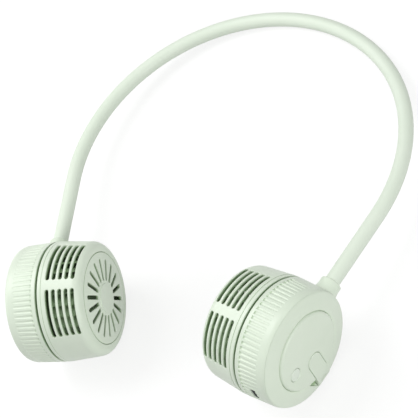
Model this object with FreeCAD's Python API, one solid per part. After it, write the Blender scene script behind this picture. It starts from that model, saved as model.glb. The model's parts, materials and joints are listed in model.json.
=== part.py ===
import FreeCAD, Part
import math
import os

# An electric neck fan lying on a table: a bendable hose hoop with a drum-shaped blower head at each end.
# A head is drawn once about its own axis: X towards the hose, Y up, Z outward, zero in the turning gap.
# The right head is placed as drawn, and the left one is its mirror image. Sizes are in millimetres.

# Hoop and hose
hoop_radius = 100.5
leg_splay = 14.3
leg_run = 84.5
collar_place = 9.9
hose_radius = 4.2
hose_wall = 1.2
core_radius = 1.1
lead_gap = 0.3
lead_tail = 1.6

# Fits, gaps and edges
fit = 0.05
turn_fit = 0.08
turn_gap = 0.3
seam = 0.2
edge = 0.3
overrun = 1.0

# Drum walls and the gap in which each head turns
head_radius = 33.4
wall = 1.8
groove_width = 1.4
groove_depth = 4.5

# Slotted front housing
housing_draft = 5.0
head_depth = 25.2
front_round = 5.0
inlet_rim = 1.2
ledge_width = 1.6
ledge_thick = 1.4
slot_count = 5
slot_start = 6.45
slot_pitch = 3.65
slot_width = 2.3
slot_edge = 0.35
outlet_middle = 105.7
outlet_span = 105.5
outlet_bridge = 9.5

# Inlet cover
inlet_thick = 1.6
inlet_dome = 1.4
inlet_slots = 18
inlet_slot_width = 2.2
inlet_margin = 3.7
inlet_edge = 0.3
hub_radius = 8.3
hub_rise = 0.3
hub_land = 1.3

# Blower base, which turns in the ribbed shell
lip_width = 2.1
spigot_run = 1.7
spigot_wall = 1.7
neck_inset = 7.0
neck_wall = 3.0
lead_hole = 2.5
lead_hole_inset = 6.0
tube_radius = 3.5
tube_depth = 13.6
tube_floor = 1.6

# Retaining ring and its screws
ring_reach = 2.5
ring_thick = 1.6
ring_screws = 4
screw_head = 1.4
screw_head_high = 0.9
screw_shank = 0.7
screw_run = 3.0

# Motor
shaft_radius = 1.0
bearing_wall = 1.4
bearing_width = 2.5
shaft_fit = 0.02
poles = 9
core_ring = 1.7
tooth_width = 1.6
stator_radius = 9.0
shoe_thick = 0.8
shoe_span_share = 0.72
stator_start = 5.6
stator_high = 5.6
coil_thick = 0.8
air_gap = 0.5
magnet_thick = 1.2
cup_wall = 0.8
cup_start = 4.9
cup_high = 10.2
boss_radius = 2.6
boss_high = 1.2
board_inner_gap = 0.6
driver_radius = 11.0
driver_thick = 0.8

# Impeller
blades = 28
blade_thick = 0.9
blade_inner = 17.5
blade_lean = 9.0
blade_sweep = 24.0
tip_gap = 3.6
hub_skin = 1.2
hub_round = 3.0
back_plate = 1.2
back_gap = 1.9
shroud_width = 3.4
shroud_thick = 1.0
shroud_gap = 0.9

# Ribbed shell and its collar for the hose
shell_draft = 2.5
plate_thick = 2.0
smooth_band = 2.3
rib_run = 12.0
rib_pitch = 4.8
rib_sector = 276.0
rib_groove = 1.1
rib_depth = 0.55
rib_fade = 1.6
shoulder_z = 16.6
shoulder_round = 5.0
parting_angle = 32.0
land_width = 2.0
collar_radius = 5.9
collar_height = 6.6
collar_flare = 10.0
collar_straight = 3.0
collar_edge = 0.8
hose_grip = 6.6
post_radius = 2.2
post_bite = 0.1
post_high = 6.2
posts = 4
board_place = 11.2

# Hose nipple
nipple_wall = 0.5
nipple_run = 9.0
flange_radius = 5.0
flange_thick = 1.2

# Domed outer cover and the flat cap plate sunk in it
cover_wall = 1.9
crown_z = 21.9
crown_round = 1.0
cap_inset = 11.25
cap_sunk = 0.6
cap_thick = 1.2
cap_gap = 0.12
cap_edge = 0.5
reveal = 0.1
reveal_depth = 0.25
skirt_run = 3.9
skirt_wall = 1.5

# Power button, a tongue from near the middle of the right cap plate to the rim
key_width = 9.8
key_inner = 4.7
key_inset = 3.9
key_sunk = 0.1
key_round = 0.6
key_edge = 0.6
key_dish = 0.35
key_gap = 0.25
key_wall = 1.1
key_skin = 1.7
key_flange = 0.9
key_flange_thick = 0.9
key_travel = 0.8
key_stem = 1.5
key_press_inset = 7.15
notch_start = 21.0
notch_width = 3.0
notch_depth = 2.2

# Status light
lens_radius = 3.6
lens_inset = 8.4
lens_turn = 8.0
lens_sunk = 0.3
lens_edge = 0.4
lens_flange = 0.8
pipe_radius = 1.4
light_gap = 0.4
led_length = 2.0
led_width = 1.6
led_high = 0.9

# Board, tray, cell, switch and charging socket
board_thick = 1.0
board_gap = 1.0
board_cut_inset = 8.0
cell_length_share = 1.15
cell_width_share = 0.91
cell_thick = 5.2
cell_round = 2.0
switch_side = 4.6
switch_high = 1.7
switch_gap = 0.1
socket_width = 8.94
socket_high = 3.26
socket_deep = 7.4
socket_skin = 0.3
socket_sunk = 0.7
socket_floor = 1.2
tongue_width = 6.7
tongue_thick = 0.7
tongue_short = 1.0

# Sizes that follow from the ones above
V = FreeCAD.Vector
ROUND = "round"
axis_z = V(0, 0, 1)
origin = V(0, 0, 0)
splay = math.radians(leg_splay)
groove_half = groove_width / 2
head_bore = head_radius - wall
lip_z = -(groove_half + lip_width)
face_z = -head_depth
housing_lean = math.radians(housing_draft)
front_centre_z = face_z + front_round
front_line = head_radius - (lip_z - front_centre_z) * math.tan(housing_lean)
front_centre_radius = front_line - front_round / math.cos(housing_lean)
seat_radius = front_centre_radius - inlet_rim
ledge_radius = seat_radius - ledge_width
ledge_z = face_z + inlet_thick
ledge_back_z = ledge_z + ledge_thick
inlet_radius = seat_radius - seam
plate_z = groove_half + plate_thick
neck_top = plate_z + turn_gap
neck_radius = head_radius - neck_inset
neck_bore = neck_radius - neck_wall
neck_middle = neck_radius - neck_wall / 2
ring_top = neck_top + ring_thick
shell_lean = math.radians(shell_draft)
shoulder_line = head_radius - (shoulder_z - groove_half) * math.tan(shell_lean)
shoulder_radius = shoulder_line - shoulder_round / math.cos(shell_lean)
parting = math.radians(parting_angle)
parting_radius = shoulder_radius + shoulder_round * math.cos(parting)
parting_z = shoulder_z + shoulder_round * math.sin(parting)
land_radius = parting_radius - land_width
cap_radius = head_radius - cap_inset
cap_z = crown_z - cap_sunk
cap_floor = cap_z - cap_thick
cover_under = cap_floor - cover_wall
board_top = board_place + board_thick
post_place = head_bore - post_radius + post_bite
hose_bore = hose_radius - hose_wall
nipple_radius = hose_bore - fit
nipple_bore = nipple_radius - nipple_wall
cable_radius = nipple_bore - core_radius - lead_gap / 2 - fit
collar_top = head_radius + collar_height
hose_end = collar_top - hose_grip
flange_bore = head_bore - (collar_place + flange_radius - groove_half) * math.tan(shell_lean)
flange_place = math.sqrt(flange_bore ** 2 - flange_radius ** 2) - fit
lead_end = flange_place - flange_thick - lead_tail
bearing_radius = shaft_radius + bearing_wall
stator_inner = tube_radius + fit
magnet_inner = stator_radius + air_gap
cup_inner = magnet_inner + magnet_thick
cup_radius = cup_inner + cup_wall
cup_top = -(cup_start + cup_high)
hub_outer = cup_radius + fit + hub_skin
back_z = lip_z - back_gap
tip_radius = head_bore - tip_gap
shroud_top = ledge_back_z + shroud_gap
key_end = head_radius - key_inset
key_top = cap_z - key_sunk
key_press_place = cap_radius - key_press_inset
key_flange_top = cover_under - key_gap
key_bottom = key_flange_top - key_flange_thick
switch_top = key_bottom - key_travel - switch_gap
lens_place = cap_radius - lens_inset
socket_z = board_place - socket_high / 2


def disc(radius, low, high):
    """A round plate about the drum axis."""
    return Part.makeCylinder(radius, high - low, V(0, 0, low))


def ring(inner, outer, low, high):
    """A tube about the drum axis."""
    return disc(outer, low, high).cut(disc(inner, low, high))


def circle_point(centre_radius, centre_z, radius, angle):
    """A (radius, height) point on a round of a turned profile."""
    turn = math.radians(angle)
    return centre_radius + radius * math.cos(turn), centre_z + radius * math.sin(turn)


def spun(*stops, sweep=360):
    """Turns a closed profile of (radius, height) stops; a stop marked ROUND is the middle of an arc."""
    points = [V(stop[0], 0, stop[1]) for stop in stops]
    points.append(points[0])
    edges = []
    place = 0
    while place < len(stops):
        if place + 1 < len(stops) and ROUND in stops[place + 1]:
            edges.append(Part.Arc(*points[place:place + 3]).toShape())
            place += 2
        else:
            edges.append(Part.LineSegment(*points[place:place + 2]).toShape())
            place += 1
    return Part.Face(Part.Wire(edges)).revolve(origin, axis_z, sweep)


def stadium(start, end, half_width, low, high):
    """A slot-shaped prism along X with round ends, from start to end."""
    first = start + half_width
    last = end - half_width
    rails = [
        Part.LineSegment(V(first, -half_width, low), V(last, -half_width, low)),
        Part.Arc(V(last, -half_width, low), V(end, 0, low), V(last, half_width, low)),
        Part.LineSegment(V(last, half_width, low), V(first, half_width, low)),
        Part.Arc(V(first, half_width, low), V(start, 0, low), V(first, -half_width, low)),
    ]
    face = Part.Face(Part.Wire([rail.toShape() for rail in rails]))
    return face.extrude(V(0, 0, high - low))


def block(length, width, low, high):
    """A box centred on the drum axis."""
    return Part.makeBox(length, width, high - low, V(-length / 2, -width / 2, low))


def moved(shape, x=0, y=0, z=0):
    """A copy of a shape, shifted."""
    return shape.translated(V(x, y, z))


def turned(shape, angle):
    """A copy of a shape, turned about the drum axis."""
    return shape.rotated(origin, axis_z, angle)


def around(shape, count, start=0):
    """Copies of a shape, evenly spaced about the drum axis."""
    return [turned(shape, start + 360 * i / count) for i in range(count)]


def on_leg(shape):
    """Carries a shape drawn about Z onto the hose line, which runs along X above the drum axis."""
    return moved(shape.rotated(origin, V(0, 1, 0), 90), z=collar_place)


def post_spots(shape):
    """Copies of a shape on the posts inside the ribbed shell."""
    return around(moved(shape, post_place), posts, 180 / posts)


def neck_spots(shape):
    """Copies of a shape on the screws of the retaining ring."""
    return around(moved(shape, neck_middle), ring_screws)


def shell_radius(height):
    """The outside radius of the ribbed shell's wall, which leans in towards the cover."""
    return head_radius - (height - groove_half) * math.tan(shell_lean)


def housing_stops(height, stops):
    """Carries (depth, rise) stops, drawn square to the front housing's leaning wall, to a turned profile."""
    radius = head_radius - (lip_z - height) * math.tan(housing_lean)
    side = math.sin(housing_lean)
    along = math.cos(housing_lean)
    carried = []
    for depth, rise, *mark in stops:
        carried.append((radius + depth * along + rise * side, height - depth * side + rise * along, *mark))
    return carried


def arc_slot(start, end, height):
    """The cutter of one outlet slot: it follows the leaning wall, with round ends and a rounded mouth."""
    half = slot_width / 2
    flare = half + slot_edge
    deep = -wall - overrun
    sides = [
        (deep, -half),
        (-slot_edge, -half),
        (*circle_point(-slot_edge, -flare, slot_edge, 45), ROUND),
        (0, -flare),
        (overrun, -flare),
        (overrun, flare),
        (0, flare),
        (*circle_point(-slot_edge, flare, slot_edge, -45), ROUND),
        (-slot_edge, half),
        (deep, half),
    ]
    mouth = spun(
        (0, deep),
        (half, deep),
        (half, -slot_edge),
        (*circle_point(flare, -slot_edge, slot_edge, 135), ROUND),
        (flare, 0),
        (flare, overrun),
        (0, overrun),
        sweep=180,
    )
    radius, spot_z = housing_stops(height, [(0, 0)])[0]
    trim = math.degrees(half / radius)
    ends = []
    for shape, angle in ((mouth, end - trim), (turned(mouth, 180), start + trim)):
        leaned = shape.rotated(origin, V(0, 1, 0), 90 + housing_draft)
        ends.append(turned(moved(leaned, radius, z=spot_z), angle))
    band = spun(*housing_stops(height, sides), sweep=end - start - trim - trim)
    return turned(band, start + trim).fuse(ends)


def front_housing():
    """The slotted drum wall, leaning in towards its round front edge, with a ledge for the inlet cover."""
    inner_round = front_round - wall * math.cos(housing_lean)
    corner = math.degrees(math.asin((front_centre_z - ledge_back_z) / inner_round))
    bend = (housing_draft + 90) / 2
    inner_bend = (housing_draft + corner) / 2
    shell = spun(
        (head_bore, lip_z),
        (head_radius - seam, lip_z),
        (head_radius, lip_z - seam),
        circle_point(front_centre_radius, front_centre_z, front_round, -housing_draft),
        (*circle_point(front_centre_radius, front_centre_z, front_round, -bend), ROUND),
        (front_centre_radius, face_z),
        (seat_radius + inlet_edge, face_z),
        (*circle_point(seat_radius + inlet_edge, face_z + inlet_edge, inlet_edge, -135), ROUND),
        (seat_radius, face_z + inlet_edge),
        (seat_radius, ledge_z),
        (ledge_radius, ledge_z),
        (ledge_radius, ledge_back_z),
        circle_point(front_centre_radius, front_centre_z, inner_round, -corner),
        (*circle_point(front_centre_radius, front_centre_z, inner_round, -inner_bend), ROUND),
        circle_point(front_centre_radius, front_centre_z, inner_round, -housing_draft),
    )
    half_span = outlet_span / 2
    half_bridge = outlet_bridge / 2
    cutters = []
    for i in range(slot_count):
        height = -(slot_start + i * slot_pitch)
        cutters.append(arc_slot(outlet_middle - half_span, outlet_middle - half_bridge, height))
        cutters.append(arc_slot(outlet_middle + half_bridge, outlet_middle + half_span, height))
    return shell.cut(cutters)


def dome_stops(radius, height):
    """The half of a shallow dome's profile from its edge to its crown, bulging towards the front."""
    bow = (radius ** 2 + inlet_dome ** 2) / (inlet_dome + inlet_dome)
    swing = math.degrees(math.asin(radius / bow))
    return [(radius, height), (*circle_point(0, height - inlet_dome + bow, bow, swing / 2 - 90), ROUND)]


def inlet_cover():
    """The slightly domed grille that the air is drawn in through: radial slots about a plain hub."""
    crown = face_z - inlet_dome
    grille = spun(
        (0, ledge_z - inlet_dome),
        dome_stops(ledge_radius, ledge_z)[1],
        (ledge_radius, ledge_z),
        (inlet_radius, ledge_z),
        (inlet_radius, face_z + inlet_edge),
        (*circle_point(inlet_radius - inlet_edge, face_z + inlet_edge, inlet_edge, -45), ROUND),
        *dome_stops(inlet_radius - inlet_edge, face_z),
        (0, crown),
    )
    start = hub_radius + hub_land
    end = inlet_radius - inlet_margin
    slot = stadium(start, end, inlet_slot_width / 2, crown - overrun, ledge_z + overrun)
    grille = grille.cut(around(slot, inlet_slots))
    mouths = []
    for side in grille.Edges:
        spot = side.CenterOfMass
        if spot.z < face_z - fit and math.hypot(spot.x, spot.y) > hub_radius:
            mouths.append(side)
    grille = grille.makeFillet(inlet_edge, mouths)
    root = crown + inlet_thick / 2
    hub = spun(
        (0, root),
        (hub_radius, root),
        (hub_radius, crown),
        (*circle_point(hub_radius - hub_rise, crown, hub_rise, -45), ROUND),
        (hub_radius - hub_rise, crown - hub_rise),
        (0, crown - hub_rise),
    )
    return grille.fuse(hub)


def blower_base():
    """The floor of the front housing: lip, spigot, turning neck and the tube that holds the bearings."""
    base = spun(
        (0, lip_z),
        (head_radius - seam, lip_z),
        (head_radius, lip_z + seam),
        (head_radius, -groove_half - edge),
        (*circle_point(head_radius - edge, -groove_half - edge, edge, 45), ROUND),
        (head_radius - edge, -groove_half),
        (0, -groove_half),
    )
    step = disc(head_radius - groove_depth, -groove_half, groove_half - turn_gap)
    neck = disc(neck_radius, -groove_half, neck_top)
    pocket = disc(neck_bore, -groove_half, neck_top)
    spigot_end = lip_z - spigot_run
    spigot_radius = head_bore - fit
    spigot_taper = spigot_run * math.tan(housing_lean)
    spigot_bore = spigot_radius - spigot_taper - spigot_wall
    spigot = spun(
        (spigot_bore, spigot_end),
        (spigot_radius - spigot_taper, spigot_end),
        (spigot_radius, lip_z),
        (spigot_bore, lip_z),
    )
    tube = disc(tube_radius, -tube_depth, lip_z)
    tube_bore = disc(bearing_radius + shaft_fit, -tube_depth, -tube_floor)
    lead = moved(disc(lead_hole, lip_z - overrun, groove_half + overrun), neck_bore - lead_hole_inset)
    pilot = disc(screw_shank + fit, ring_top - screw_head_high - screw_run - fit, neck_top)
    solid = base.fuse([step, neck]).cut(pocket).fuse([spigot, tube])
    return solid.cut([tube_bore, lead] + neck_spots(pilot))


def retaining_ring():
    """The ring that is screwed to the neck behind the ribbed shell's plate."""
    plain = ring(neck_bore, neck_radius + ring_reach, neck_top, ring_top)
    shank = disc(screw_shank + fit, neck_top - overrun, ring_top)
    sink = disc(screw_head + fit, ring_top - screw_head_high, ring_top + overrun)
    return plain.cut(neck_spots(shank.fuse(sink)))


def screws(under_head):
    """One screw with its head seated at the given height."""
    head = disc(screw_head, under_head, under_head + screw_head_high)
    return head.fuse(disc(screw_shank, under_head - screw_run, under_head))


def bearings():
    """The two bearings in the tube."""
    low = ring(shaft_radius + shaft_fit, bearing_radius, -tube_floor - bearing_width, -tube_floor)
    high = ring(shaft_radius + shaft_fit, bearing_radius, -tube_depth, -tube_depth + bearing_width)
    return Part.makeCompound([low, high])


def tooth(low, high):
    """One stator tooth, along X."""
    length = stator_radius - shoe_thick - stator_inner
    return Part.makeBox(length, tooth_width, high - low, V(stator_inner, -tooth_width / 2, low))


def stator_core():
    """The stack of steel sheets: a ring, teeth and curved shoes."""
    high = -stator_start
    low = high - stator_high
    sweep = 360 / poles * shoe_span_share
    shoe = Part.makeCylinder(stator_radius, stator_high, V(0, 0, low), axis_z, sweep)
    shoe = turned(shoe, -sweep / 2).cut(disc(stator_radius - shoe_thick - fit, low, high))
    hub = disc(stator_inner + core_ring, low, high)
    arms = around(tooth(low, high).fuse(shoe), poles)
    return hub.fuse(arms).cut(disc(stator_inner, low, high))


def stator_coils():
    """One winding round each tooth."""
    high = -stator_start
    low = high - stator_high
    start = stator_inner + core_ring + coil_thick / 2
    end = stator_radius - shoe_thick - coil_thick / 2
    half = tooth_width / 2 + coil_thick
    loop = Part.makeBox(
        end - start, half + half, stator_high + coil_thick + coil_thick, V(start, -half, low - coil_thick)
    )
    return Part.makeCompound(around(loop.cut(tooth(low, high)), poles))


def driver_board():
    """The ring-shaped board under the motor."""
    return ring(tube_radius + board_inner_gap, driver_radius, lip_z - driver_thick, lip_z)


def rotor_cup():
    """The steel cup that carries the magnets round the stator."""
    cup = disc(cup_radius, cup_top, -cup_start).cut(disc(cup_inner, cup_top + cup_wall, -cup_start))
    boss = disc(boss_radius, cup_top - boss_high, cup_top)
    return cup.fuse(boss).cut(disc(shaft_radius + shaft_fit, cup_top - boss_high, -cup_start))


def magnet_ring():
    """The magnets inside the cup, on its floor."""
    return ring(magnet_inner, cup_inner - shaft_fit, cup_top + cup_wall, -cup_start)


def motor_shaft():
    """The shaft, from the tube's floor to the end of the cup's boss."""
    return disc(shaft_radius, cup_top - boss_high, -tube_floor)


def blade(low, high):
    """One curved blade of the impeller, which leans further back the further out it gets."""
    middle = (blade_inner + tip_radius) / 2
    stops = [(blade_inner, 0), (middle, blade_lean), (tip_radius, blade_sweep)]
    sides = []
    for side in (-1, 1):
        points = []
        for radius, angle in stops:
            turn = math.radians(angle) + side * blade_thick / 2 / radius
            points.append(V(radius * math.cos(turn), radius * math.sin(turn), low))
        sides.append(points)
    near, far = sides
    edges = [
        Part.Arc(*near),
        Part.LineSegment(near[2], far[2]),
        Part.Arc(far[2], far[1], far[0]),
        Part.LineSegment(far[0], near[0]),
    ]
    face = Part.Face(Part.Wire([one.toShape() for one in edges]))
    return face.extrude(V(0, 0, high - low))


def impeller():
    """The blower wheel: a hub over the motor's cup, a back plate, curved blades and a front shroud."""
    nose = cup_top - boss_high - hub_skin
    hub = spun(
        (0, -cup_start),
        (hub_outer, -cup_start),
        (hub_outer, nose + hub_round),
        (*circle_point(hub_outer - hub_round, nose + hub_round, hub_round, -45), ROUND),
        (hub_outer - hub_round, nose),
        (0, nose),
    )
    plate = disc(tip_radius, back_z - back_plate, back_z)
    shroud = ring(tip_radius - shroud_width, tip_radius, shroud_top, shroud_top + shroud_thick)
    ring_of_blades = around(blade(shroud_top + shroud_thick / 2, back_z - back_plate / 2), blades)
    wheel = plate.fuse([hub, shroud] + ring_of_blades)
    cup_room = disc(cup_radius + fit, cup_top, back_z + overrun)
    boss_room = disc(boss_radius + fit, cup_top - boss_high, cup_top)
    return wheel.cut([cup_room, boss_room])


def collar():
    """The flared socket on the ribbed shell that the hose is held in, drawn about Z from the drum axis."""
    flare_top = collar_top - collar_straight
    reach = flare_top - head_bore
    foot = collar_radius + collar_flare - math.sqrt(collar_flare ** 2 - reach ** 2)
    swing = math.degrees(math.asin(reach / collar_flare))
    centre = collar_radius + collar_flare
    return spun(
        (0, head_bore),
        (foot, head_bore),
        (*circle_point(centre, flare_top, collar_flare, 180 + swing / 2), ROUND),
        (collar_radius, flare_top),
        (collar_radius, collar_top - collar_edge),
        (*circle_point(collar_radius - collar_edge, collar_top - collar_edge, collar_edge, 45), ROUND),
        (collar_radius - collar_edge, collar_top),
        (0, collar_top),
    )


def rib_cutters():
    """The flutes between the grip ribs, which leave the wall beside the collar smooth."""
    start = groove_half + smooth_band
    end = start + rib_run
    centre = shell_radius(start) + rib_groove - rib_depth
    flute = spun(
        (0, start),
        (rib_groove, start),
        (rib_groove, end - rib_groove),
        (*circle_point(0, end - rib_groove, rib_groove, 45), ROUND),
        (0, end),
    )
    flute = moved(flute.rotated(V(0, 0, start), V(0, 1, 0), rib_fade - shell_draft), centre)
    count = int(rib_sector / rib_pitch) + 1
    first = 180 - rib_pitch * (count - 1) / 2
    return [turned(flute, first + rib_pitch * i) for i in range(count)]


def socket_hole():
    """The opening for the charging socket, through the wall opposite the hose."""
    half_high = socket_high / 2 + seam
    half_wide = socket_width / 2 + seam
    hole = stadium(-half_wide, half_wide, half_high, head_bore - overrun, head_radius + overrun)
    hole = turned(hole, 90).rotated(origin, V(0, 1, 0), -90)
    return moved(hole, z=socket_z)


def ribbed_shell(with_socket):
    """The outer half of a drum: ribbed wall, round shoulder, turning plate, hose collar and inner posts."""
    bend = (shell_draft + parting_angle) / 2
    body = spun(
        (0, groove_half),
        (head_radius - edge, groove_half),
        (*circle_point(head_radius - edge, groove_half + edge, edge, -45), ROUND),
        (shell_radius(groove_half + edge), groove_half + edge),
        circle_point(shoulder_radius, shoulder_z, shoulder_round, shell_draft),
        (*circle_point(shoulder_radius, shoulder_z, shoulder_round, bend), ROUND),
        (parting_radius, parting_z),
        (0, parting_z),
    )
    cavity = spun(
        (0, plate_z),
        (shell_radius(plate_z) - wall, plate_z),
        (shell_radius(shoulder_z) - wall, shoulder_z),
        (land_radius, parting_z),
        (land_radius, parting_z + overrun),
        (0, parting_z + overrun),
    )
    body = body.cut(rib_cutters()).fuse(on_leg(collar())).cut(cavity)
    post = disc(post_radius, board_place - post_high, board_place)
    body = body.fuse(post_spots(post))
    holes = [disc(neck_radius + turn_fit, groove_half - overrun, plate_z + overrun)]
    holes.append(on_leg(disc(hose_radius + fit, hose_end, collar_top + overrun)))
    holes.append(on_leg(disc(nipple_radius + fit, head_bore - overrun, hose_end)))
    holes += post_spots(disc(screw_shank + fit, board_top - screw_run - fit, board_place + overrun))
    if with_socket:
        holes.append(socket_hole())
    return body.cut(holes)


def hose_nipple():
    """The barbless tube with a flange inside the shell that holds the end of the hose open and in place."""
    tube = ring(nipple_bore, nipple_radius, flange_place, hose_end + nipple_run)
    flange = ring(nipple_bore, flange_radius, flange_place - flange_thick, flange_place)
    return on_leg(tube.fuse(flange))


def key_outline(grow, low, high):
    """The tongue's outline as a prism, grown on every side, from near the centre to the rim."""
    half = key_width / 2 + grow
    tongue = stadium(key_inner - grow, head_radius + half, half, low, high)
    return turned(tongue.common(disc(key_end + grow, low, high)), -90)


def at_light(shape):
    """Carries a shape from the drum axis to the status light."""
    return turned(moved(shape, -lens_place), lens_turn)


def nail_notch():
    """The cutter of the wedge beside the tongue in the rim of the right cover."""
    side = -key_width / 2
    low = crown_z - notch_depth
    corners = [
        V(side, -notch_start, low),
        V(side, -head_radius, low),
        V(side - notch_width, -head_radius, low),
        V(side, -notch_start, low),
    ]
    return Part.Face(Part.makePolygon(corners)).extrude(V(0, 0, notch_depth + overrun))


def button_room():
    """The cutters of the right cover and cap plate: the tongue's opening and the light's hole."""
    low = cover_under - skirt_run
    high = crown_z + overrun
    return [key_outline(key_gap, low, high), at_light(disc(lens_radius + fit, low, high))]


def outer_cover():
    """The domed cover: a rim on the ribbed shell, a skirt inside it and a round seat for the cap plate."""
    rim_z = parting_z + reveal
    rim_radius = parting_radius - reveal
    crown_radius = cap_radius + crown_round
    width = rim_radius - crown_radius
    drop = crown_z - rim_z
    dome = (width ** 2 + drop ** 2) / (drop + drop)
    swing = math.degrees(math.asin(width / dome))
    skirt_radius = land_radius - seam
    skirt_bore = skirt_radius - skirt_wall
    skirt_z = parting_z - skirt_run
    dome_under = crown_z - cover_wall - crown_round
    return spun(
        (0, cap_floor),
        (cap_radius, cap_floor),
        (cap_radius, crown_z - crown_round),
        (*circle_point(crown_radius, crown_z - crown_round, crown_round, 135), ROUND),
        (crown_radius, crown_z),
        (*circle_point(crown_radius, crown_z - dome, dome, 90 - swing / 2), ROUND),
        (rim_radius, rim_z),
        (rim_radius - reveal_depth, rim_z),
        (rim_radius - reveal_depth, parting_z),
        (skirt_radius, parting_z),
        (skirt_radius, skirt_z),
        (skirt_bore, skirt_z),
        (skirt_bore, dome_under),
        (cap_radius + cover_wall, dome_under),
        (cap_radius + cover_wall, cover_under),
        (0, cover_under),
    )


def cap_plate():
    """The flat round plate in the seat of the outer cover."""
    radius = cap_radius - cap_gap
    return spun(
        (0, cap_floor),
        (radius, cap_floor),
        (radius, cap_z - cap_edge),
        (*circle_point(radius - cap_edge, cap_z - cap_edge, cap_edge, 45), ROUND),
        (radius - cap_edge, cap_z),
        (0, cap_z),
    )


def power_button():
    """The tongue-shaped button: a hollow cap with a dished top, a flange and a stem over the switch."""
    envelope = spun(
        (0, key_bottom),
        (key_end, key_bottom),
        (key_end, key_top - key_round),
        (*circle_point(key_end - key_round, key_top - key_round, key_round, 45), ROUND),
        (key_end - key_round, key_top),
        (0, key_top),
    )
    body = key_outline(0, key_bottom, key_top).common(envelope)
    half_dish = key_width / 2 - key_edge
    scoop_radius = (half_dish ** 2 + key_dish ** 2) / (key_dish + key_dish)
    scoop_z = key_top - key_dish + scoop_radius
    start = key_inner + key_edge + half_dish
    scoop = Part.makeCylinder(scoop_radius, head_radius, V(0, -start, scoop_z), V(0, -1, 0))
    spoon = Part.makeSphere(scoop_radius, V(0, -start, scoop_z))
    flange_limit = land_radius - seam - skirt_wall - key_gap
    flange = key_outline(key_flange, key_bottom, key_flange_top)
    flange = flange.common(disc(flange_limit, key_bottom, key_flange_top))
    pocket = key_outline(-key_wall, key_bottom, key_top - key_skin)
    stem = moved(disc(key_stem, key_bottom, key_top - key_skin), y=-key_press_place)
    return body.cut(scoop).cut(spoon).fuse(flange).cut(pocket).fuse(stem)


def status_lens():
    """The round window beside the button, with a flange under the cover and a light pipe to the board."""
    spot = cover_under - lens_flange
    lens_top = cap_z - lens_sunk
    lens = spun(
        (0, cover_under),
        (lens_radius, cover_under),
        (lens_radius, lens_top - lens_edge),
        (*circle_point(lens_radius - lens_edge, lens_top - lens_edge, lens_edge, 45), ROUND),
        (lens_radius - lens_edge, lens_top),
        (0, lens_top),
    )
    flange = disc(lens_radius + lens_flange, spot, cover_under)
    pipe = disc(pipe_radius, board_top + led_high + light_gap, spot)
    return at_light(lens.fuse([flange, pipe]))


def status_led():
    """The small light on the board, under the light pipe."""
    return at_light(block(led_length, led_width, board_top, board_top + led_high))


def board_plate():
    """The round plate on the four posts, cut straight on the side of the hose."""
    plate = disc(head_bore - board_gap, board_place, board_top)
    keep = Part.makeBox(head_radius + head_radius - board_cut_inset, head_radius + head_radius, board_thick)
    keep = moved(keep, -head_radius, -head_radius, board_place)
    holes = post_spots(disc(screw_shank + fit, board_place - overrun, board_top + overrun))
    return plate.common(keep).cut(holes)


def battery_cell():
    """The flat cell with rounded edges, taped under the plate."""
    length = head_radius * cell_length_share
    cell = block(length, head_radius * cell_width_share, board_place - cell_thick, board_place)
    upright = [side for side in cell.Edges if side.BoundBox.ZLength > fit]
    return cell.makeFillet(cell_round, upright)


def tact_switch():
    """The push switch under the button's stem."""
    body = block(switch_side, switch_side, board_top, board_top + switch_high)
    return moved(body.fuse(disc(key_stem, board_top, switch_top)), y=-key_press_place)


def charging_socket():
    """The charging socket: a thin round-ended metal sleeve with a contact tongue inside."""
    mouth = shell_radius(socket_z) - socket_sunk
    back = mouth - socket_deep
    half_wide = socket_width / 2
    half_high = socket_high / 2
    sleeve = stadium(-half_wide, half_wide, half_high, back, mouth)
    inner = stadium(
        socket_skin - half_wide, half_wide - socket_skin, half_high - socket_skin, back + socket_floor, mouth
    )
    contact = block(tongue_width, tongue_thick, back + socket_floor, mouth - tongue_short)
    socket = turned(sleeve.cut(inner).fuse(contact), 90).rotated(origin, V(0, 1, 0), -90)
    return moved(socket, z=socket_z)


# The hoop frame: X across, Y from the heads to the back of the hoop, Z up from the hoop's plane.
leg_along = V(math.sin(splay), math.cos(splay), 0)
leg_out = V(math.cos(splay), -math.sin(splay), 0)
bend_centre_y = (hoop_radius - collar_place) * math.sin(splay) + leg_run * math.cos(splay)
bend_end = V(hoop_radius * math.cos(splay), bend_centre_y - hoop_radius * math.sin(splay), 0)
head_centre = bend_end - leg_along * leg_run - leg_out * collar_place
hoop_back = bend_centre_y + hoop_radius


def hoop_tube(radius, bore, rise, end):
    """A tube along the hoop: the round bend and two straight legs that end short of the drum axes."""
    centre = bend_end + V(0, 0, rise)
    outer = Part.Wire(Part.Circle(centre, leg_along, radius).toShape())
    face = Part.Face(outer)
    if bore:
        face = face.cut(Part.Face(Part.Wire(Part.Circle(centre, leg_along, bore).toShape())))
    bend = face.revolve(V(0, bend_centre_y, 0), axis_z, 180 + leg_splay + leg_splay)
    leg = face.extrude(leg_along * (end - leg_run))
    other = leg.mirror(origin, V(1, 0, 0))
    return bend.fuse([leg, other]).Solids[0]


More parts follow.
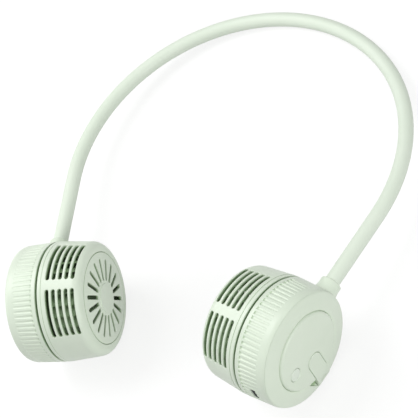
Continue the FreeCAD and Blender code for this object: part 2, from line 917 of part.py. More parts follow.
# At rest the drums and the back of the hoop touch the table, so the hoop's plane leans back by this much.
# Each drum stands on its widest round, at the seam under the front housing.
arm = hoop_back + (lip_z - seam) * math.sin(splay)
square = arm ** 2 + (head_radius * math.sin(splay)) ** 2
root = math.sqrt((arm * hose_radius) ** 2 - square * (hose_radius ** 2 - head_radius ** 2))
lean = math.asin((root - arm * hose_radius) / square)
floor_z = -(hoop_back * math.sin(lean) + hose_radius)
front_slope = math.sin(splay) * math.cos(lean)
front_y = -(shoulder_z * front_slope + shoulder_radius * math.sqrt(1 - front_slope ** 2) + shoulder_round)
middle_y = (front_y + hoop_back * math.cos(lean) + hose_radius) / 2
rest = FreeCAD.Placement(V(0, -middle_y, -floor_z), FreeCAD.Rotation(V(1, 0, 0), -math.degrees(lean)))
head_place = FreeCAD.Placement(head_centre, FreeCAD.Rotation(leg_along, axis_z, leg_out, "XYZ"))


def write(name, shape):
    """Writes one piece as a STEP file."""
    shape.exportStep("parts/" + name + ".step")


def at_rest(shape):
    """Carries a shape from the hoop frame to its place on the table."""
    return shape.transformed(rest.toMatrix(), True)


def right(shape):
    """Places a head's piece on the right of the hoop."""
    return at_rest(shape.transformed(head_place.toMatrix(), True))


def left(shape):
    """Places a head's piece on the left of the hoop, as the mirror image of the right one."""
    return right(shape).mirror(origin, V(1, 0, 0))


os.makedirs("parts", exist_ok=True)

write("neck_hose", at_rest(hoop_tube(hose_radius, hose_bore, 0, hose_end)))
write("core_wire", at_rest(hoop_tube(core_radius, 0, core_radius - nipple_bore + fit, lead_end)))
write("link_cable", at_rest(hoop_tube(cable_radius, 0, nipple_bore - fit - cable_radius, lead_end)))

ring_screw_set = Part.makeCompound(neck_spots(screws(ring_top - screw_head_high)))
plate_screw_set = Part.makeCompound(post_spots(screws(board_top)))
head_pieces = {
    "hose_nipple": hose_nipple(),
    "battery_cell": battery_cell(),
    "blower_base": blower_base(),
    "front_housing": front_housing(),
    "inlet_cover": inlet_cover(),
    "retaining_ring": retaining_ring(),
    "ring_screws": ring_screw_set,
    "driver_board": driver_board(),
    "stator_core": stator_core(),
    "stator_coils": stator_coils(),
    "bearings": bearings(),
    "impeller": impeller(),
    "rotor_cup": rotor_cup(),
    "magnet_ring": magnet_ring(),
    "motor_shaft": motor_shaft(),
    "plate_screws": plate_screw_set,
}
for name, shape in head_pieces.items():
    write("right_" + name, right(shape))
    write("left_" + name, left(shape))

write("right_ribbed_shell", right(ribbed_shell(True)))
write("left_ribbed_shell", left(ribbed_shell(False)))
write("right_outer_cover", right(outer_cover().cut(button_room() + [nail_notch()])))
write("left_outer_cover", left(outer_cover()))
write("right_cap_plate", right(cap_plate().cut(button_room())))
write("left_cap_plate", left(cap_plate()))
write("main_board", right(board_plate()))
write("battery_tray", left(board_plate()))
write("power_button", right(power_button()))
write("status_lens", right(status_lens()))
write("status_led", right(status_led()))
write("tact_switch", right(tact_switch()))
write("charging_socket", right(charging_socket()))
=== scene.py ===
import json
import math

import bpy
from mathutils import Matrix, Vector


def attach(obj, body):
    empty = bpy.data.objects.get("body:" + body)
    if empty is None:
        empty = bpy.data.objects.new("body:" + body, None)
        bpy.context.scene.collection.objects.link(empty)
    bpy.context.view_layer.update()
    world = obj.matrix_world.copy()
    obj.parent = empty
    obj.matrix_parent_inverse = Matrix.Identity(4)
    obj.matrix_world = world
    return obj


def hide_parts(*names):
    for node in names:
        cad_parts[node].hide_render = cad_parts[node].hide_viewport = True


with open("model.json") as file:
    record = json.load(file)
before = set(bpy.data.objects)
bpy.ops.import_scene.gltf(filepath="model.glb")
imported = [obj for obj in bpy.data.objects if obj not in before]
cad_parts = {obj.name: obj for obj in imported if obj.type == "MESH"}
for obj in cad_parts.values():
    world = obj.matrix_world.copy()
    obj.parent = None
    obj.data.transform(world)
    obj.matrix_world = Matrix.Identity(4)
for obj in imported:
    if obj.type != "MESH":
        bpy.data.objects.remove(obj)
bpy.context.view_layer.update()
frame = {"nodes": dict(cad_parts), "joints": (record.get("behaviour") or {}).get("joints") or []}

# Neck hose: the bendable hoop that lies round the neck. It is a soft silicone sleeve, drawn over the wire
# and the lead in one length, and its two ends are pushed into the collars of the heads.
nodes = frame["nodes"]
sleeve_mint = (231, 241, 226)
sleeve_cloud = (228, 239, 223)
cloud_spots = 38.0
cloud_range = (0.34, 0.68)
gloss_spots = 420.0
gloss_middle = 0.5


def linear(red, green, blue):
    """Turns a colour as seen on a screen, 0 to 255, into the linear colour that a shader takes."""
    shares = [channel / 255 for channel in (red, green, blue)]
    return (*[low / 12.92 if low < 0.04045 else ((low + 0.055) / 1.055) ** 2.4 for low in shares], 1)


def add(tree, kind, inputs=None, **settings):
    """Adds a shader node, sets its properties, and sets or joins its inputs."""
    made = tree.nodes.new(kind)
    for name, value in settings.items():
        setattr(made, name, value)
    for name, value in (inputs or {}).items():
        if isinstance(value, bpy.types.NodeSocket):
            tree.links.new(value, made.inputs[name])
        else:
            made.inputs[name].default_value = value
    return made


def maths(tree, operation, first, second=0.0, clamp=False):
    """One sum on two values."""
    settings = {"operation": operation, "use_clamp": clamp}
    return add(tree, "ShaderNodeMath", {0: first, 1: second}, **settings).outputs[0]


def spread(tree, value, low, high, start=0.0, end=1.0):
    """Maps a value from one range to another with soft ends."""
    inputs = {"Value": value, "From Min": low, "From Max": high, "To Min": start, "To Max": end}
    return add(tree, "ShaderNodeMapRange", inputs, interpolation_type="SMOOTHSTEP").outputs[0]


def mixed(tree, share, first, second):
    """A blend of two colours."""
    return add(tree, "ShaderNodeMix", {0: share, 6: first, 7: second}, data_type="RGBA").outputs[2]


def object_place(tree):
    """The place of a point in the part's own frame, in metres."""
    return add(tree, "ShaderNodeTexCoord").outputs["Object"]


def noise(tree, spots, detail=2.0):
    """Cloudy noise with so many spots to the metre."""
    inputs = {"Vector": object_place(tree), "Scale": spots, "Detail": detail}
    return add(tree, "ShaderNodeTexNoise", inputs).outputs["Fac"]


def group_of(name, ins, outs):
    """An empty shader node group with named sockets."""
    tree = bpy.data.node_groups.new(name, "ShaderNodeTree")
    for label, kind in ins.items():
        tree.interface.new_socket(label, in_out="INPUT", socket_type="NodeSocket" + kind)
    for label, kind in outs.items():
        tree.interface.new_socket(label, in_out="OUTPUT", socket_type="NodeSocket" + kind)
    return tree, tree.nodes.new("NodeGroupInput").outputs, tree.nodes.new("NodeGroupOutput").inputs


# Every moulded surface has slight clouds in its colour, smoother patches and a fine spark-eroded grain.
skin_takes = {"Colour": "Color", "Cloud": "Color"}
skin_takes.update({"Roughness": "Float", "Polish": "Float", "Grain": "Float", "Depth": "Float"})
skin_gives = {"Colour": "Color", "Roughness": "Float", "Normal": "Vector"}
moulded_skin, skin_in, skin_out = group_of("moulded_skin", skin_takes, skin_gives)
skin_clouds = spread(moulded_skin, noise(moulded_skin, cloud_spots, detail=3.0), *cloud_range)
skin_colour = mixed(moulded_skin, skin_clouds, skin_in["Colour"], skin_in["Cloud"])
moulded_skin.links.new(skin_colour, skin_out["Colour"])
skin_marks = maths(moulded_skin, "SUBTRACT", noise(moulded_skin, gloss_spots, detail=5.0), gloss_middle)
skin_gloss = maths(moulded_skin, "MULTIPLY", skin_marks, skin_in["Polish"])
skin_gloss = maths(moulded_skin, "ADD", skin_gloss, skin_in["Roughness"], clamp=True)
moulded_skin.links.new(skin_gloss, skin_out["Roughness"])
skin_grain = noise(moulded_skin, skin_in["Grain"])
skin_bump = add(moulded_skin, "ShaderNodeBump", {"Distance": skin_in["Depth"], "Height": skin_grain})
moulded_skin.links.new(skin_bump.outputs["Normal"], skin_out["Normal"])


def shader_of(material):
    """The shader that a material's look is set on."""
    return material.node_tree.nodes["Principled BSDF"]


def feed(material, socket, value):
    """Joins a node's result to an input of a material's shader."""
    material.node_tree.links.new(value, shader_of(material).inputs[socket])


def plain_material(name, colour, roughness, metallic=0.0):
    """A material with its shader at one colour, for nodes to be joined to."""
    material = bpy.data.materials.new(name)
    material.use_nodes = True
    shader_of(material).inputs["Base Color"].default_value = colour
    shader_of(material).inputs["Roughness"].default_value = roughness
    shader_of(material).inputs["Metallic"].default_value = metallic
    return material


def moulded(name, colour, cloud, roughness, polish=0.2, grain=4200.0, depth=0.000012):
    """A moulded plastic or rubber with the shared skin on it."""
    material = plain_material(name, linear(*colour), roughness)
    values = {"Colour": linear(*colour), "Cloud": linear(*cloud), "Roughness": roughness}
    values.update({"Polish": polish, "Grain": grain, "Depth": depth})
    skin = add(material.node_tree, "ShaderNodeGroup", values, node_tree=moulded_skin)
    feed(material, "Base Color", skin.outputs["Colour"])
    feed(material, "Roughness", skin.outputs["Roughness"])
    feed(material, "Normal", skin.outputs["Normal"])
    return material


def dress(material, *names):
    """Gives CAD nodes their material."""
    for name in names:
        mesh = nodes[name].data
        mesh.materials.clear()
        mesh.materials.append(material)


silicone = moulded("mint_silicone", sleeve_mint, sleeve_cloud, roughness=0.5, polish=0.14, grain=2600.0)
shader_of(silicone).inputs["Sheen Weight"].default_value = 0.12
shader_of(silicone).inputs["Sheen Roughness"].default_value = 0.5
dress(silicone, "neck_hose")

# Core wire and link cable: the annealed steel wire that holds the hoop's shape, and the rubber-insulated
# lead from the board in the right head to the cell in the left one. Both lie loose inside the hose.
wire_grey = (150, 151, 152)
lead_black = (38, 38, 40)
lead_cloud = (46, 46, 48)
mark_range = (0.3, 0.7)


def metal(name, colour, spots, detail, smooth, rough):
    """A bare metal with smoother and rougher spots."""
    material = plain_material(name, linear(*colour), smooth, metallic=1.0)
    marks = noise(material.node_tree, spots, detail)
    feed(material, "Roughness", spread(material.node_tree, marks, *mark_range, smooth, rough))
    return material


wire_steel = metal("annealed_wire", wire_grey, spots=900.0, detail=4.0, smooth=0.34, rough=0.52)
dress(wire_steel, "core_wire")
lead_rubber = moulded("lead_insulation", lead_black, lead_cloud, roughness=0.55)
dress(lead_rubber, "link_cable")

# Ribbed shells: the outer half of each drum, with its grip ribs, hose collar, turning plate and posts. Each
# is moulded in one piece, pale mint, and fixed to the hose. A deeper green painted shade lies in its groove
# and rib valleys.
sides = ("right", "left")
head_radius = 0.0334
mint = (229, 240, 223)
mint_cloud = (226, 238, 220)
# Deeper green that is mixed in as painted shade in grooves, slots, seams and gaps.
painted_shade_green = (156, 182, 142)
paint_gloss = 0.36
# Depths under the surface over which the painted shade fades in.
shade_depth_fade = (0.0005, 0.0012)
shell_foot = 0.0007
shell_foot_fade = (0.0008, 0.0014)
shell_draft = math.tan(math.radians(2.5))
rib_groove = (0.00008, 0.00024)
rib_foot_fade = (0.0036, 0.0043)
rib_foot_shade = 0.32
turns = {joint["name"]: joint for joint in frame["joints"]}


def pair(name):
    """The names of a piece that each head has."""
    return [side + "_" + name for side in sides]


def between(tree, operation, first, second=(0, 0, 0)):
    """One sum on two places or directions."""
    return add(tree, "ShaderNodeVectorMath", {0: first, 1: second}, operation=operation).outputs


# Where a point is on its drum: how far from the drum's axis, and how far outward from the turning gap.
drum_takes = {"Centre": "Vector", "Axis": "Vector"}
drum_place, drum_in, drum_out = group_of("drum_place", drum_takes, {"Radius": "Float", "Height": "Float"})
drum_arm = between(drum_place, "SUBTRACT", object_place(drum_place), drum_in["Centre"])["Vector"]
drum_rise = between(drum_place, "DOT_PRODUCT", drum_arm, drum_in["Axis"])["Value"]
drum_swing = between(drum_place, "CROSS_PRODUCT", drum_arm, drum_in["Axis"])["Vector"]
drum_reach = between(drum_place, "LENGTH", drum_swing)["Value"]
drum_place.links.new(drum_rise, drum_out["Height"])
drum_place.links.new(drum_reach, drum_out["Radius"])


def on_drum(tree, side):
    """The radius and height of a point on one side's drum."""
    turn = turns[side + "_head_turn"]
    place = {"Centre": turn["pos_m"], "Axis": turn["axis"]}
    spot = add(tree, "ShaderNodeGroup", place, node_tree=drum_place)
    return spot.outputs["Radius"], spot.outputs["Height"]


def add_painted_shade(material, share):
    """Mixes the deeper green into the colour by a share, as painted shade in recesses, seams and gaps."""
    paint = shader_of(material).inputs["Base Color"].links[0].from_socket
    feed(material, "Base Color", mixed(material.node_tree, share, paint, linear(*painted_shade_green)))


for side in sides:
    shell_paint = moulded(side + "_shell_paint", mint, mint_cloud, paint_gloss)
    shell_tree = shell_paint.node_tree
    shell_reach, shell_rise = on_drum(shell_tree, side)
    shell_depth = maths(shell_tree, "SUBTRACT", head_radius, shell_reach)
    # Painted shade: deeper green inside the turning groove, by the shell's foot.
    shell_inside = spread(shell_tree, shell_depth, *shade_depth_fade)
    shell_low = spread(shell_tree, shell_rise, *shell_foot_fade, 1.0, 0.0)
    add_painted_shade(shell_paint, maths(shell_tree, "MULTIPLY", shell_inside, shell_low))
    shell_lean = maths(shell_tree, "SUBTRACT", shell_rise, shell_foot)
    shell_lean = maths(shell_tree, "MULTIPLY", shell_lean, shell_draft)
    shell_wall = maths(shell_tree, "SUBTRACT", head_radius, shell_lean)
    # Painted shade: deeper green in the rib valleys, strongest near their lower ends.
    rib_depth = maths(shell_tree, "SUBTRACT", shell_wall, shell_reach)
    rib_sides = spread(shell_tree, rib_depth, *rib_groove)
    rib_ends = spread(shell_tree, shell_rise, *rib_foot_fade, rib_foot_shade, 0.0)
    add_painted_shade(shell_paint, maths(shell_tree, "MULTIPLY", rib_sides, rib_ends))
    dress(shell_paint, side + "_ribbed_shell")

# Hose nipples: flanged brass tubes, turned on a lathe, that hold the hose's ends open in the collars.
# Each is pushed in from inside its shell, and its flange takes the pull.
brass_yellow = (196, 164, 96)
brass = metal("turned_brass", brass_yellow, spots=2400.0, detail=2.0, smooth=0.22, rough=0.4)
dress(brass, *pair("hose_nipple"))

# Blower bases: the floors of the front halves, with the lip at the turning gap, the neck that turns in the
# shell's plate and the tube for the bearings. All but the lip's outside, and a line at its seam, get a
# deeper green painted shade.
lip_fade = (-0.00280, -0.00262)
seam_shade = 0.6
for side in sides:
    base_paint = moulded(side + "_base_paint", mint, mint_cloud, paint_gloss)
    base_tree = base_paint.node_tree
    base_reach, base_rise = on_drum(base_tree, side)
    base_depth = maths(base_tree, "SUBTRACT", head_radius, base_reach)
    # Painted shade: deeper green everywhere inside the lip's outside surface, and along the lip's seam.
    add_painted_shade(base_paint, spread(base_tree, base_depth, *shade_depth_fade))
    add_painted_shade(base_paint, spread(base_tree, base_rise, *lip_fade, seam_shade, 0.0))
    dress(base_paint, side + "_blower_base")

# Retaining rings and small screws: the plain moulded ring that keeps each neck behind its plate, and the
# plated steel screws that hold the ring, the board and the tray. Bearings and shafts are bright steel too.
ring_pale = (205, 214, 200)
ring_cloud = (200, 210, 195)
plated_grey = (196, 197, 198)
ring_plastic = moulded("ring_plastic", ring_pale, ring_cloud, roughness=0.5)
dress(ring_plastic, *pair("retaining_ring"))
plated = metal("plated_steel", plated_grey, spots=1600.0, detail=3.0, smooth=0.22, rough=0.4)
dress(plated, *pair("ring_screws"), *pair("plate_screws"), *pair("bearings"), *pair("motor_shaft"))

# Motors: a stack of thin steel sheets with enamelled copper windings on a small board, pressed onto the
# tube, and a drawn steel cup with a ring of sintered magnets that turns round it.
sheet_grey = (120, 122, 126)
sheet_pitch = 0.0005
copper_red = (176, 98, 52)
strand_pitch = 0.00035
cup_grey = (176, 178, 181)
magnet_grey = (70, 71, 74)
magnet_cloud = (60, 61, 64)
mask_green = (28, 84, 52)
mask_cloud = (36, 96, 60)


def layered(name, side, colour, roughness, pitch, strength, depth):
    """A metal in thin layers along the drum's axis, such as sheets or turns of wire."""
    material = plain_material(side + "_" + name, linear(*colour), roughness, metallic=1.0)
    tree = material.node_tree
    rise = on_drum(tree, side)[1]
    waves = maths(tree, "SINE", maths(tree, "MULTIPLY", rise, math.tau / pitch))
    bump = add(tree, "ShaderNodeBump", {"Strength": strength, "Distance": depth, "Height": waves})
    feed(material, "Normal", bump.outputs["Normal"])
    return material


for side in sides:
    sheets = layered("sheet_stack", side, sheet_grey, 0.4, sheet_pitch, strength=0.6, depth=0.00006)
    dress(sheets, side + "_stator_core")
    copper = layered("enamelled_copper", side, copper_red, 0.28, strand_pitch, strength=0.8, depth=0.00008)
    dress(copper, side + "_stator_coils")
drawn = metal("drawn_steel", cup_grey, spots=700.0, detail=5.0, smooth=0.26, rough=0.44)
dress(drawn, *pair("rotor_cup"))
sintered = moulded("sintered_magnet", magnet_grey, magnet_cloud, roughness=0.6)
dress(sintered, *pair("magnet_ring"))
solder_mask = moulded("solder_mask", mask_green, mask_cloud, roughness=0.34)
dress(solder_mask, *pair("driver_board"))

# Impellers: the blower wheels, moulded in one piece and pressed onto the motors' cups. Their blades show
# through the slots and the grilles, coloured a deeper green that stands in as painted shade inside the
# drums.
wheel_shade_green = (150, 176, 136)
wheel_cloud = (144, 170, 130)
# The wheel's deeper green is painted shade for the dark inside of the drum.
wheel_plastic = moulded("wheel_plastic", wheel_shade_green, wheel_cloud, roughness=0.48)
dress(wheel_plastic, *pair("impeller"))

# Front housings: the slotted half of each drum that blows the air out. Each is moulded in mint and glued
# over its base; the slots' walls, the inside and thin lines at its two seams get a deeper green painted
# shade.
housing_foot = 0.0028
housing_draft = math.tan(math.radians(5.0))
slot_fade = (0.0005, 0.0013)
housing_front_fade = (-0.0230, -0.0224)
housing_foot_fade = (-0.00318, -0.0030)
grille_seat_fade = (0.02566, 0.02582)
for side in sides:
    housing_paint = moulded(side + "_housing_paint", mint, mint_cloud, paint_gloss)
    housing_tree = housing_paint.node_tree
    housing_reach, housing_rise = on_drum(housing_tree, side)
    housing_lean = maths(housing_tree, "ADD", housing_rise, housing_foot)
    housing_lean = maths(housing_tree, "MULTIPLY", housing_lean, housing_draft)
    housing_wall = maths(housing_tree, "ADD", housing_lean, head_radius)
    housing_depth = maths(housing_tree, "SUBTRACT", housing_wall, housing_reach)
    # Painted shade: deeper green on the slots' walls and the inside.
    housing_inside = spread(housing_tree, housing_depth, *slot_fade)
    housing_front = spread(housing_tree, housing_rise, *housing_front_fade)
    add_painted_shade(housing_paint, maths(housing_tree, "MULTIPLY", housing_inside, housing_front))
    # Painted shade: thin deeper green lines at the seams with the base and the grille.
    add_painted_shade(housing_paint, spread(housing_tree, housing_rise, *housing_foot_fade, 0.0, seam_shade))
    add_painted_shade(housing_paint, spread(housing_tree, housing_reach, *grille_seat_fade, seam_shade, 0.0))
    dress(housing_paint, side + "_front_housing")

# Inlet covers: the slightly domed grilles that the air is drawn in through, snapped into the housings.
# Their slots are coloured a deeper green inside, and a thin line round their edge, as painted shade.
grille_radius = 0.0252
grille_bow = 0.0014
grille_front = 0.0266
grille_slot_fade = (0.0004, 0.0010)
grille_edge_fade = (0.02515, 0.02536)
grille_edge_shade = 0.75
for side in sides:
    grille_paint = moulded(side + "_grille_paint", mint, mint_cloud, paint_gloss)
    grille_tree = grille_paint.node_tree
    grille_reach, grille_rise = on_drum(grille_tree, side)
    grille_share = maths(grille_tree, "DIVIDE", grille_reach, grille_radius)
    grille_dome = maths(grille_tree, "MULTIPLY", maths(grille_tree, "POWER", grille_share, 2.0), grille_bow)
    grille_face = maths(grille_tree, "SUBTRACT", grille_dome, grille_front)
    grille_depth = maths(grille_tree, "SUBTRACT", grille_rise, grille_face)
    # Painted shade: deeper green in the slots and in a line at the edge.
    add_painted_shade(grille_paint, spread(grille_tree, grille_depth, *grille_slot_fade))
    add_painted_shade(grille_paint, spread(grille_tree, grille_reach, *grille_edge_fade, 0.0, grille_edge_shade))
    dress(grille_paint, side + "_inlet_cover")

# Cells, board and tray: a foil pouch cell taped under the main board in the right head, and one under a
# plain moulded tray in the left head. Board and tray are screwed to the shells' posts.
foil_silver = (190, 192, 197)
crease_spots = 160.0
crease_depth = 0.0003
foil = plain_material("pouch_foil", linear(*foil_silver), roughness=0.36, metallic=1.0)
foil_creases = noise(foil.node_tree, crease_spots, detail=4.0)
foil_inputs = {"Strength": 0.5, "Distance": crease_depth, "Height": foil_creases}
feed(foil, "Normal", add(foil.node_tree, "ShaderNodeBump", foil_inputs).outputs["Normal"])
dress(foil, *pair("battery_cell"))
dress(ring_plastic, "battery_tray")
dress(solder_mask, "main_board")

# Switch and light: a push switch in a black moulded case under the button's stem, and a small white light
# under the status window. Both are soldered to the main board.
switch_dark = (36, 36, 37)
switch_cloud = (44, 44, 45)
led_pale = (240, 238, 220)
led_cloud = (236, 230, 196)
switch_black = moulded("switch_black", switch_dark, switch_cloud, roughness=0.5)
dress(switch_black, "tact_switch")
led_white = moulded("led_white", led_pale, led_cloud, roughness=0.3)
dress(led_white, "status_led")

# Charging socket: a folded nickel-plated sleeve on the edge of the main board, behind the hole in the
# ribbed wall, with a thin contact blade in its middle.
nickel_grey = (150, 152, 154)
nickel = metal("nickel_shell", nickel_grey, spots=2200.0, detail=3.0, smooth=0.24, rough=0.42)
dress(nickel, "charging_socket")

# Status window: a milky plastic disc beside the button, with a flange under the cover and a pipe to the
# light. It is tinted like the cover and pushed in from behind, and stands a little proud of the cap plate.
cover_back = 0.0182
cap_rise = 0.0224
proud = 0.0001
key_high = cap_rise + proud
window_spot = (-0.013616, -0.001914)
window_sides = 48
window_radius = 0.0036
flange_radius = 0.0044
flange_low = 0.0174
pipe_radius = 0.0014
pipe_end = 0.0135
window_round = 0.0004
window_mint = (231, 241, 227)
window_cloud = (228, 239, 224)
merge_gap = 0.000002
round_steps = 3
round_from = math.radians(50)
smooth_under = math.radians(40)


def blank(name, vertices, radius, spot, rise):
    """Starts a piece as a flat face with so many corners, open for editing."""
    bpy.ops.object.select_all(action="DESELECT")
    place = (*spot, rise)
    bpy.ops.mesh.primitive_circle_add(vertices=vertices, radius=radius, fill_type="NGON", location=place)
    bpy.ops.object.transform_apply(location=True)
    piece = bpy.context.object
    piece.name = name
    bpy.ops.object.mode_set(mode="EDIT")
    return piece


def lift(height):
    """Draws the chosen face outward along the drum."""
    bpy.ops.mesh.extrude_region_move(TRANSFORM_OT_translate={"value": (0, 0, height)})


def widen(share, spot):
    """Makes the chosen face wider or narrower in its own plane."""
    bpy.ops.mesh.extrude_region_move()
    bpy.ops.transform.resize(value=(share, share, 1), center_override=(*spot, 0))


def close_up():
    """Turns all faces outward and ends the editing."""
    bpy.ops.mesh.select_all(action="SELECT")
    bpy.ops.mesh.normals_make_consistent(inside=False)
    bpy.ops.object.mode_set(mode="OBJECT")


def soften(piece, width):
    """Rounds a piece's sharp edges and ends the editing."""
    close_up()
    edge_round = piece.modifiers.new("edge_round", "BEVEL")
    edge_round.width = width
    edge_round.segments = round_steps
    edge_round.limit_method = "ANGLE"
    edge_round.angle_limit = round_from
    bpy.ops.object.modifier_apply(modifier=edge_round.name)
    bpy.ops.object.mode_set(mode="EDIT")
    bpy.ops.mesh.select_all(action="SELECT")
    bpy.ops.mesh.remove_doubles(threshold=merge_gap)
    bpy.ops.object.mode_set(mode="OBJECT")
    bpy.ops.object.shade_smooth_by_angle(angle=smooth_under)


def fix(piece, side, body, node, material):
    """Puts a piece made on the drum's own axes in its place, for the CAD node that it stands for."""
    outward = Vector(turns[side + "_head_turn"]["axis"])
    upward = Vector((0, outward.z, -outward.y)).normalized()
    place = Matrix((upward.cross(outward), upward, outward)).transposed().to_4x4()
    place.translation = turns[side + "_head_turn"]["pos_m"]
    piece.data.transform(place)
    piece.data.materials.append(material)
    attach(piece, body)
    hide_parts(node)


window = blank("status_window", window_sides, pipe_radius, window_spot, pipe_end)
lift(flange_low - pipe_end)
widen(flange_radius / pipe_radius, window_spot)
lift(cover_back - flange_low)
widen(window_radius / flange_radius, window_spot)
lift(key_high - cover_back)
soften(window, window_round)
window_plastic = moulded("window_plastic", window_mint, window_cloud, roughness=0.3)
fix(window, "right", "hoop_frame", "status_lens", window_plastic)

# Power button: the tongue-shaped key from the middle of the right cover to its rim, moulded and painted
# like the cover. A flange under the cover holds it, and the switch springs it back.
key_middle = -0.0096
key_sides = 64
key_low = 0.01705
key_flange_radius = 0.0058
key_flange_end = -0.027
key_flange = 0.0009
key_nose = 0.0028
key_stretch = 0.03
key_cuts = (-0.0195, -0.022, -0.0245, -0.027)
key_drops = (0.00010, 0.00024, 0.00038, 0.00052)
key_half_row = 0.0015
key_face_over = 0.0205
key_rim = 0.0009
key_round = 0.0005
key_dish = ((0.0016, 0.00016), (0.0014, 0.00006))
nearly = 0.0001
squarely = 0.9


def choose(piece, kind, test):
    """Chooses the faces or the points of a piece that pass a test."""
    bpy.ops.object.mode_set(mode="EDIT")
    bpy.ops.mesh.select_mode(type=kind)
    bpy.ops.mesh.select_all(action="DESELECT")
    bpy.ops.object.mode_set(mode="OBJECT")
    for part in piece.data.vertices if kind == "VERT" else piece.data.polygons:
        part.select = test(part)
    bpy.ops.object.mode_set(mode="EDIT")


def tongue(name, radius, end, rise):
    """Starts a piece as a flat tongue, round at its upper end and cut straight at its lower one."""
    piece = blank(name, key_sides, radius, (0, key_middle), rise)
    choose(piece, "VERT", lambda point: point.co.y < key_middle - nearly)
    bpy.ops.transform.translate(value=(0, -key_stretch, 0))
    bpy.ops.mesh.select_all(action="SELECT")
    bpy.ops.mesh.bisect(plane_co=(0, end, 0), plane_no=(0, 1, 0), clear_inner=True)
    bpy.ops.mesh.select_all(action="SELECT")
    return piece


key = tongue("button_tongue", key_flange_radius, key_flange_end, key_low)
lift(key_flange)
bpy.ops.mesh.inset(thickness=key_flange)
lift(key_high - key_low - key_flange)
choose(key, "FACE", lambda face: face.normal.y < -squarely and face.center.z > key_low + key_flange)
bpy.ops.mesh.extrude_region_move(TRANSFORM_OT_translate={"value": (0, -key_nose, 0)})
for cut in key_cuts:
    bpy.ops.mesh.select_all(action="SELECT")
    bpy.ops.mesh.bisect(plane_co=(0, cut, 0), plane_no=(0, 1, 0))
for cut, drop in zip(key_cuts, key_drops):
    choose(key, "VERT", lambda point: point.co.y < cut - key_half_row and point.co.z > key_face_over)
    bpy.ops.transform.translate(value=(0, 0, -drop))
choose(key, "FACE", lambda face: face.normal.z > squarely and face.center.z > key_face_over)
bpy.ops.mesh.inset(thickness=key_rim)
for step, fall in key_dish:
    bpy.ops.mesh.inset(thickness=step, depth=-fall)
soften(key, key_round)
key_paint = moulded("key_paint", mint, mint_cloud, roughness=0.4)
fix(key, "right", "button", "power_button", key_paint)

# Outer covers: the sloping covers snapped into the ribbed shells, each with a round seat for a cap plate.
# They are moulded hollow behind in the shells' mint, with a deeper green painted shade where they lie deep
# under the slope.
# The right one is open for the tongue and the window, with a nail pocket beside the tongue.
cover_sides = 160
skirt_end = 0.01535
skirt_reach = 0.029741
skirt_wall = 0.0015
seat_floor = 0.0201
crown_reach = 0.02285
crown_rise = 0.02125
crown_fall = 0.2
cover_round = 0.0002
cover_steps = (
    (skirt_reach, 0.01925),
    (0.03159, 0.01925),
    (0.03159, 0.01935),
    (0.03184, 0.01935),
    (0.03080, 0.01974),
    (0.02900, 0.02015),
    (0.02600, 0.02075),
    (crown_reach, crown_rise),
    (0.02250, 0.02117),
    (0.02228, 0.02095),
    (0.02220, 0.02060),
    (0.02220, seat_floor),
)
room_low = 0.0165
room_height = 0.0075
key_room_radius = 0.00520
key_room_end = -0.0301
window_room_radius = 0.00382
nail_side = -0.0050
nail_start = -0.0208
nail_run = 0.0090
nail_width = 0.005
nail_floor = 0.0194
nail_height = 0.005


def paint_cover(side, piece):
    """The mint of a piece of one cover, with a deeper green painted shade where it lies deep under the
    slope.
    """
    paint = moulded(side + "_" + piece, mint, mint_cloud, paint_gloss)
    tree = paint.node_tree
    reach, rise = on_drum(tree, side)
    run = maths(tree, "MAXIMUM", maths(tree, "SUBTRACT", reach, crown_reach), 0.0)
    slope = maths(tree, "SUBTRACT", crown_rise, maths(tree, "MULTIPLY", run, crown_fall))
    # Painted shade: deeper green where the surface lies deep under the cover's slope.
    add_painted_shade(paint, spread(tree, maths(tree, "SUBTRACT", slope, rise), *shade_depth_fade))
    return paint


def cut_out(piece, cutter):
    """Cuts the shape in hand out of another piece, and takes it away."""
    close_up()
    bpy.ops.object.select_all(action="DESELECT")
    bpy.context.view_layer.objects.active = piece
    piece.select_set(True)
    opening = piece.modifiers.new("opening", "BOOLEAN")
    opening.object = cutter
    bpy.ops.object.modifier_apply(modifier=opening.name)
    bpy.data.objects.remove(cutter)


def open_for_button(piece):
    """Cuts the tongue's opening and the window's hole."""
    close_up()
    key_room = tongue("key_room", key_room_radius, key_room_end, room_low)
    lift(room_height)
    cut_out(piece, key_room)
    window_room = blank("window_room", window_sides, window_room_radius, window_spot, room_low)
    lift(room_height)
    cut_out(piece, window_room)


def cut_nail_pocket(piece):
    """Cuts the three-sided pocket at the edge of the cap plate, square to the tongue's side."""
    nail_middle = nail_start - nail_run / 3
    nail_share = nail_width * math.sqrt(3) / nail_run
    nail_room = blank("nail_room", 3, nail_run * 2 / 3, (nail_side, nail_middle), nail_floor)
    bpy.ops.transform.resize(value=(nail_share, -1, 1), center_override=(nail_side, nail_middle, 0))
    choose(nail_room, "VERT", lambda point: point.co.x > nail_side + nearly)
    bpy.ops.transform.translate(value=(-nail_width, 0, 0))
    bpy.ops.mesh.select_all(action="SELECT")
    lift(nail_height)
    cut_out(piece, nail_room)


for side in sides:
    cover = blank(side + "_cover", cover_sides, skirt_reach, (0, 0), skirt_end)
    last_reach, last_rise = skirt_reach, skirt_end
    for reach, rise in cover_steps:
        widen(reach / last_reach, (0, 0))
        bpy.ops.transform.translate(value=(0, 0, rise - last_rise))
        last_reach, last_rise = reach, rise
    choose(cover, "FACE", lambda face: face.center.z < skirt_end + nearly)
    bpy.ops.mesh.inset(thickness=skirt_wall)
    lift(cover_back - skirt_end)
    if side == "right":
        open_for_button(cover)
        cut_nail_pocket(cover)
        bpy.ops.object.mode_set(mode="EDIT")
    soften(cover, cover_round)
    fix(cover, side, "hoop_frame", side + "_outer_cover", paint_cover(side, "cover_paint"))

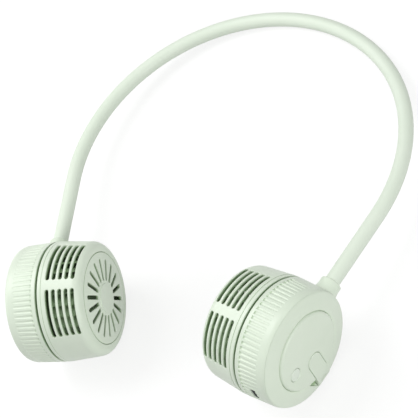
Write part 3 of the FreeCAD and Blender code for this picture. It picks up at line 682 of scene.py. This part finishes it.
# Cap plates: the flat round plates in the seats of the covers, proud of them, with rounded edges. They are
# moulded and coloured like the covers, with the same painted shade low on their edges, and glued in; the
# right one has the same two openings.
cap_radius = 0.02205
cap_edge = 0.0016
cap_edge_steps = 5
cap_round = 0.0005
for side in sides:
    cap = blank(side + "_cap", cover_sides, cap_radius, (0, 0), seat_floor)
    lift(cap_rise - seat_floor)
    bpy.ops.mesh.bevel(offset=cap_edge, segments=cap_edge_steps)
    if side == "right":
        open_for_button(cap)
        bpy.ops.object.mode_set(mode="EDIT")
    soften(cap, cap_round)
    # The cap's colour carries the covers' painted shade low on its edge.
    fix(cap, side, "hoop_frame", side + "_cap_plate", paint_cover(side, "cap_paint"))

# Floor: a wide pale sheet under the part. It looks white to the camera and keeps a soft shadow.
floor_size = 6.0
floor_grey = (0.5, 0.5, 0.5, 1)
floor_shade = (0.3, 0.3, 0.3, 1)
floor_glow = 0.76
white = (1, 1, 1, 1)


def seen_share(tree):
    """One where the camera or a reflection sees a surface, and nought for the light that it casts."""
    seen = add(tree, "ShaderNodeLightPath").outputs
    share = maths(tree, "MAXIMUM", seen["Is Camera Ray"], seen["Is Glossy Ray"])
    return maths(tree, "MAXIMUM", share, seen["Is Transmission Ray"])


bpy.ops.object.select_all(action="DESELECT")
bpy.ops.mesh.primitive_plane_add(size=floor_size, location=(0, 0, 0))
floor = bpy.context.object
floor.name = "studio_floor"
floor_paint = plain_material("floor_paint", floor_grey, roughness=0.9)
floor_tree = floor_paint.node_tree
floor_plain = shader_of(floor_paint)
floor_plain.inputs["Specular IOR Level"].default_value = 0.0
half_lit = add(floor_tree, "ShaderNodeBsdfDiffuse", {"Color": floor_shade})
half_glow = add(floor_tree, "ShaderNodeEmission", {"Color": white, "Strength": floor_glow})
both_halves = add(floor_tree, "ShaderNodeAddShader", {0: half_lit.outputs[0], 1: half_glow.outputs[0]})
floor_looks = {0: seen_share(floor_tree), 1: floor_plain.outputs[0], 2: both_halves.outputs[0]}
floor_mix = add(floor_tree, "ShaderNodeMixShader", floor_looks)
floor_tree.links.new(floor_mix.outputs[0], floor_tree.nodes["Material Output"].inputs["Surface"])
floor.data.materials.append(floor_paint)

# Studio: a pale world, a large soft lamp high on the left, one on the right and a weaker one lower on the
# left. All three face the middle of the part.
world_tint = (0.97, 0.99, 0.97, 1)
world_strength = 0.36
world = bpy.data.worlds.new("studio")
bpy.context.scene.world = world
world.use_nodes = True
world_tree = world.node_tree
world_light = world_tree.nodes["Background"]
world_light.inputs["Color"].default_value = world_tint
world_light.inputs["Strength"].default_value = world_strength
white_back = add(world_tree, "ShaderNodeBackground", {"Color": white, "Strength": 1.0})
world_looks = {0: seen_share(world_tree), 1: world_light.outputs[0], 2: white_back.outputs[0]}
world_mix = add(world_tree, "ShaderNodeMixShader", world_looks)
world_tree.links.new(world_mix.outputs[0], world_tree.nodes["World Output"].inputs["Surface"])
lamp_aim = Vector((0, 0, 0.03))


def lamp(name, place, size, power):
    """A square soft box that faces the middle of the part."""
    light = bpy.data.lights.new(name, "AREA")
    light.size = size
    light.energy = power
    holder = bpy.data.objects.new(name, light)
    holder.location = place
    holder.rotation_euler = (lamp_aim - Vector(place)).to_track_quat("-Z", "Y").to_euler()
    bpy.context.collection.objects.link(holder)


lamp("key_box", place=(-0.58, 0.16, 1.0), size=0.7, power=6.6)
lamp("fill_box", place=(1.05, -0.45, 0.6), size=0.8, power=7.2)
lamp("side_box", place=(-1.1, -0.2, 0.5), size=0.8, power=3.5)

# Camera: above the front right, as in the photograph, with the picture turned to match it.
camera_place = Vector((0.49242, -0.33391, 0.83136))
camera_right = Vector((0.8618, 0.29908, -0.40972))
camera_up = Vector((-0.1113, 0.89951, 0.42263))
camera_back = Vector((0.4949, -0.31855, 0.80851))
camera_data = bpy.data.cameras.new("photo_camera")
camera_data.lens = 155.0
camera_data.sensor_width = 36.0
camera_data.sensor_fit = "HORIZONTAL"
camera_data.clip_start = 0.01
camera = bpy.data.objects.new("photo_camera", camera_data)
camera_turn = Matrix((camera_right, camera_up, camera_back)).transposed().to_4x4()
camera.matrix_world = Matrix.Translation(camera_place) @ camera_turn
bpy.context.collection.objects.link(camera)
bpy.context.scene.camera = camera
bpy.context.scene.view_settings.view_transform = "Standard"
